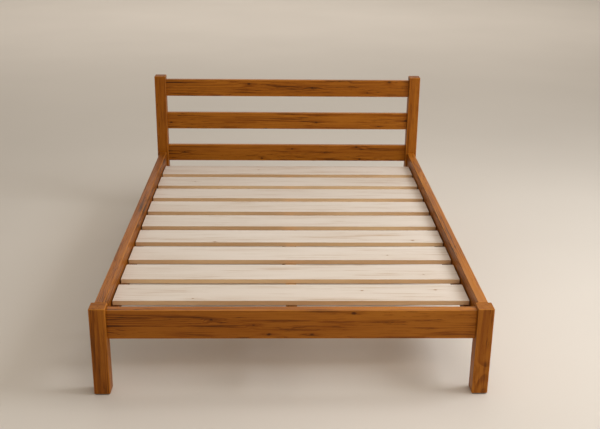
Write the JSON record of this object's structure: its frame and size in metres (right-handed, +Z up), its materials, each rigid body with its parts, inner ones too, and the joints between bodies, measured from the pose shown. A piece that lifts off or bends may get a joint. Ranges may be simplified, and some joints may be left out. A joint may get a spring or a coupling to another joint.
{
  "type": "bed frame",
  "caption": "Low-foot wooden bed frame: railed headboard, square posts and legs, bolted side rails, wide slats on cleats, and a centre beam on a leg with a levelling foot.",
  "frame": {"origin": "on the floor, under the middle of the bed's bounding box", "axes": "+Y from the foot end to the headboard, +X to the right as seen from the foot end, +Z up"},
  "size_m": [1.52, 2.13, 0.812],
  "materials": {
    "stained_wood": "satin, medium orange-brown stain over streaky straight grain",
    "slat_wood": "unfinished pale softwood, fine straight grain",
    "dowel_wood": "plain beech dowel",
    "zinc_steel": "bright zinc plate",
    "felt": "pressed brown felt",
    "black_plastic": "fine-textured nylon"
  },
  "bodies": {
    "bed_frame": {"beam_bracket_foot": "zinc_steel", "beam_bracket_head": "zinc_steel", "bolt_nut_foot_left": "zinc_steel", "bolt_nut_foot_right": "zinc_steel", "bolt_nut_head_left": "zinc_steel", "bolt_nut_head_right": "zinc_steel", "bolt_stud_foot_left": "zinc_steel", "bolt_stud_foot_right": "zinc_steel", "bolt_stud_head_left": "zinc_steel", "bolt_stud_head_right": "zinc_steel", "bracket_screw_foot_left": "zinc_steel", "bracket_screw_foot_right": "zinc_steel", "bracket_screw_head_left": "zinc_steel", "bracket_screw_head_right": "zinc_steel", "centre_beam": "stained_wood", "centre_foot_insert": "zinc_steel", "centre_leg": "stained_wood", "centre_leg_bolt": "zinc_steel", "centre_leg_nut": "zinc_steel", "felt_pad_foot_left": "felt", "felt_pad_foot_right": "felt", "felt_pad_head_left": "felt", "felt_pad_head_right": "felt", "foot_leg_left": "stained_wood", "foot_leg_right": "stained_wood", "foot_rail": "stained_wood", "half_moon_washer_foot_left": "zinc_steel", "half_moon_washer_foot_right": "zinc_steel", "half_moon_washer_head_left": "zinc_steel", "half_moon_washer_head_right": "zinc_steel", "head_post_left": "stained_wood", "head_post_right": "stained_wood", "headboard_rail_base": "stained_wood", "headboard_rail_bottom": "stained_wood", "headboard_rail_middle": "stained_wood", "headboard_rail_top": "stained_wood", "rail_dowel_foot_left": "dowel_wood", "rail_dowel_foot_right": "dowel_wood", "rail_dowel_head_left": "dowel_wood", "rail_dowel_head_right": "dowel_wood", "side_rail_left": "stained_wood", "side_rail_right": "stained_wood", "slat_1": "slat_wood", "slat_2": "slat_wood", "slat_3": "slat_wood", "slat_4": "slat_wood", "slat_5": "slat_wood", "slat_6": "slat_wood", "slat_7": "slat_wood", "slat_8": "slat_wood", "slat_9": "slat_wood", "slat_cleat_left": "stained_wood", "slat_cleat_right": "stained_wood", "threaded_insert_foot_left": "zinc_steel", "threaded_insert_foot_right": "zinc_steel", "threaded_insert_head_left": "zinc_steel", "threaded_insert_head_right": "zinc_steel"},
    "levelling_pad": {"centre_foot_pad": "black_plastic"},
    "levelling_screw": {"centre_foot_screw": "zinc_steel"}
  },
  "joints": [
    {"name": "centre_foot_travel", "type": "slide", "parent": "bed_frame", "child": "levelling_pad", "axis": [0, 0, 1], "range_m": [-0.008, 0.008]},
    {"name": "centre_foot_turn", "type": "hinge", "parent": "levelling_pad", "child": "levelling_screw", "pos_m": [0, 0.009, 0], "axis": [0, 0, 1], "range_deg": [-1920, 1920]}
  ],
  "couplings": [
    {"joint": "centre_foot_turn", "follows": "centre_foot_travel", "rad_per_m": 4188.8}
  ]
}
